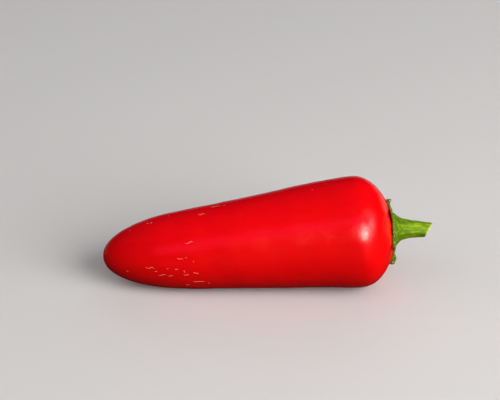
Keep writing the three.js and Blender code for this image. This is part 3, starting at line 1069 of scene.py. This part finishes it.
@dataclass
class SkyPanel:
    """A glowing sheet in front of the pod that only gloss shows: crisp below, fading away upwards.

    The lower edge runs through the stated (x, z) points, in metres, and the sheet stands at y = -distance.
    """

    distance: float = 0.2
    height: float = 0.19
    edge: tuple[Range, ...] = (
        (-0.24, 0.070), (-0.14, 0.078), (-0.095, 0.088), (-0.080, 0.112), (-0.071, 0.158),
        (-0.060, 0.182), (-0.040, 0.182), (0.030, 0.172), (0.300, 0.155),
    )
    left_fade: Range = (-0.22, -0.09)
    colour: Colour = (1.0, 0.06, 0.40, 1)
    strength: float = 2.3
    fade_power: float = 1.5
    columns: int = 160
    rows: int = 24

    def build(self) -> None:
        """Makes the sheet: columns straight up from the lower edge, each point with a share of the glow."""
        knots = np.array(self.edge)
        x = np.linspace(knots[0, 0], knots[-1, 0], self.columns)
        low = np.interp(x, knots[:, 0], knots[:, 1])
        share = np.linspace(0, 1, self.rows)
        up = low + share[:, None] * self.height
        points = np.stack(np.broadcast_arrays(x, -self.distance, up), axis=-1)
        number = np.arange(self.rows * self.columns).reshape(self.rows, self.columns)
        quads = cells(number[:, :-1], number[:, 1:])
        mesh = bpy.data.meshes.new("sky_panel")
        mesh.from_pydata(points.reshape(-1, 3).tolist(), [], quads.tolist())
        fade = (1 - share)[:, None] ** self.fade_power * smooth(*self.left_fade, x)
        mark(mesh, Trait.GLOW, fade.ravel())
        panel = linked("sky_panel", mesh)
        material = new_material("sky_glow")
        sheet = NodeSheet(material.node_tree)
        strength = sheet.product(sheet.trait(Trait.GLOW), self.strength)
        glow = sheet.add("ShaderNodeEmission", {"Color": self.colour, "Strength": strength})
        sheet.surface(glow.outputs["Emission"])
        mesh.materials.append(material)
        for rays in ("camera", "diffuse", "shadow", "transmission"):
            setattr(panel, "visible_" + rays, False)


@dataclass
class Studio:
    """Plain pale floor, soft light and the camera, in metres and degrees; its lens is in millimetres."""

    floor_radius: float = 4.0
    floor_sides: int = 96
    floor_roughness: float = 0.9
    # Where along Y the floor's painted shade in gloss eases from full to half.
    floor_behind: Range = (0.02, 0.06)
    gloss_shade_share: Range = (1, 0.5)
    horizon: Range = (-0.1, 0.9)
    around_low: Colour = (0.10, 0.093, 0.085, 1)
    around_high: Colour = (0.16, 0.16, 0.165, 1)
    mirrored_low: Colour = (0.0, 0.0, 0.0, 1)
    mirrored_high: Colour = (0.06, 0.006, 0.07, 1)
    floor_colour: Colour = (0.66, 0.65, 0.635, 1)
    # Painted shade: the floor's colour where the pod mirrors it in front of and under itself.
    floor_painted_shade_in_gloss: Colour = (0.01, 0.01, 0.01, 1)
    camera_target: tuple[float, float, float] = (-0.00471, 0.0, 0.0246)
    camera_turn: float = -1.13
    camera_height: float = 27.0
    camera_distance: float = 0.370
    camera_lens: float = 100.0
    camera_sensor: float = 36.0
    camera_near: float = 0.01
    lights: tuple[Softbox, ...] = (
        Softbox("key", 46, 27, 50, 44, 7.2, distance=0.85),
        Softbox("low_side", 66, 11, 56, 22, 3.2, distance=2.0),
        Softbox("overhead", 0, 66, 50, 40, 0.5),
        Softbox("left_fill", -80, 34, 60, 44, 0.8),
        Softbox("back_fill", 165, 32, 50, 40, 1.0),
        Softbox("gloss_spot", 24, 20, 22, 7, 46.0, (1.0, 0.92, 0.80), True),
        Softbox("gloss_middle", 36, 28, 58, 26, 5.6, (1.0, 0.93, 0.90), True),
        Softbox("gloss_glow", 42, 33, 80, 54, 1.5, (1.0, 0.60, 0.66), True),
    )

    def aim(self, thing: Object, turn: float, height: float, distance: float) -> None:
        """Puts a thing at a turn to the right of -Y and a height above the level, facing the target."""
        level = math.cos(height * DEGREE)
        right, back = math.sin(turn * DEGREE) * level, -math.cos(turn * DEGREE) * level
        target = Vector(self.camera_target)
        place = target + Vector((right, back, math.sin(height * DEGREE))) * distance
        thing.location = place
        thing.rotation_euler = (target - place).to_track_quat("-Z", "Y").to_euler()

    def camera(self) -> None:
        """Makes the camera and gives it to the scene."""
        data = bpy.data.cameras.new("camera")
        data.lens = self.camera_lens
        data.sensor_width = self.camera_sensor
        data.clip_start = self.camera_near
        thing = linked("camera", data)
        self.aim(thing, self.camera_turn, self.camera_height, self.camera_distance)
        bpy.context.scene.camera = thing

    def light(self, box: Softbox) -> None:
        """Adds one softbox."""
        data = bpy.data.lights.new(box.name, "AREA")
        data.shape = "ELLIPSE"
        data.size = box.span(box.width)
        data.size_y = box.span(box.length)
        data.energy = box.watts()
        data.color = box.colour
        # Without this, stray rays would still show the shining lights in the gloss.
        data.cycles.use_multiple_importance_sampling = box.mirrored
        thing = linked(box.name, data)
        thing.visible_glossy = box.mirrored
        thing.visible_diffuse = not box.mirrored
        thing.visible_camera = False
        self.aim(thing, box.turn, box.height, box.distance)

    def floor(self) -> None:
        """Makes the floor: a large disc at the height that the pod lies on."""
        around = circle(self.floor_sides)
        edge = np.stack([np.cos(around), np.sin(around), np.zeros_like(around)], axis=1) * self.floor_radius
        mesh = bpy.data.meshes.new("floor")
        mesh.from_pydata(edge.tolist(), [], [list(range(len(edge)))])
        mesh.materials.append(self.floor_finish())
        thing = linked("floor", mesh)
        thing.visible_diffuse = False

    def floor_finish(self) -> Material:
        """Makes the floor's material: pale, but in gloss painted dark in front of the pod and half as dark
        behind it, as painted shade in what the pod mirrors.
        """
        material = new_material("pale_floor")
        sheet = NodeSheet(material.node_tree)
        place = sheet.add("ShaderNodeNewGeometry").outputs["Position"]
        # Painted shade: only in gloss, the floor is dark in front of and under the pod, and half dark behind
        # it.
        gloss_shade = sheet.ranged(sheet.axis("Y", place), self.floor_behind, self.gloss_shade_share)
        gloss_shade = sheet.product(sheet.glossy(), gloss_shade)
        colour = sheet.blended(gloss_shade, self.floor_colour, self.floor_painted_shade_in_gloss)
        look = {"Base Color": colour, "Roughness": self.floor_roughness}
        shader = sheet.add("ShaderNodeBsdfPrincipled", look)
        sheet.surface(shader.outputs["BSDF"])
        return material

    def sky(self) -> None:
        """Makes the surroundings: even, weak pale light, weaker still from below."""
        world = bpy.data.worlds.new("studio")
        bpy.context.scene.world = world
        world.use_nodes = True
        sheet = NodeSheet(world.node_tree)
        way = sheet.add("ShaderNodeTexCoord").outputs["Generated"]
        above = sheet.ranged(sheet.axis("Z", way), self.horizon, WHOLE)
        around = sheet.blended(above, self.around_low, self.around_high)
        mirrored = sheet.blended(above, self.mirrored_low, self.mirrored_high)
        colour = sheet.blended(sheet.glossy(), around, mirrored)
        ground = sheet.add("ShaderNodeBackground", {"Color": colour, "Strength": 1.0})
        sheet.surface(ground.outputs["Background"], "World")

    def build(self) -> None:
        """Sets up the whole studio."""
        self.camera()
        self.floor()
        self.sky()
        SkyPanel().build()
        for box in self.lights:
            self.light(box)
        bpy.context.scene.view_settings.view_transform = "Standard"


def main() -> None:
    """Builds the studio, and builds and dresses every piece."""
    logging.basicConfig(level=logging.INFO, format="%(name)s: %(message)s")
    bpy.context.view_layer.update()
    Studio().build()
    form = PodForm()
    form.settle(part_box("pod")[0])
    mottle = mottle_group()

    pod = Pod(form)
    skin = pod.build()
    skin.data.materials.append(WaxySkin("waxy_red_skin", mottle).make())
    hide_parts("pod")

    scars = Corking(form).build(pod)
    scars.data.materials.append(CorkyScar("tan_cork", mottle).make())

    stem = CalyxAndStem(form).build()
    stem.data.materials.append(GreenStem("fibrous_green", mottle).make())
    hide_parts("calyx_and_stem")

    for piece in (skin, scars, stem):
        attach(piece, "root")


if __name__ == "__main__":
    main()
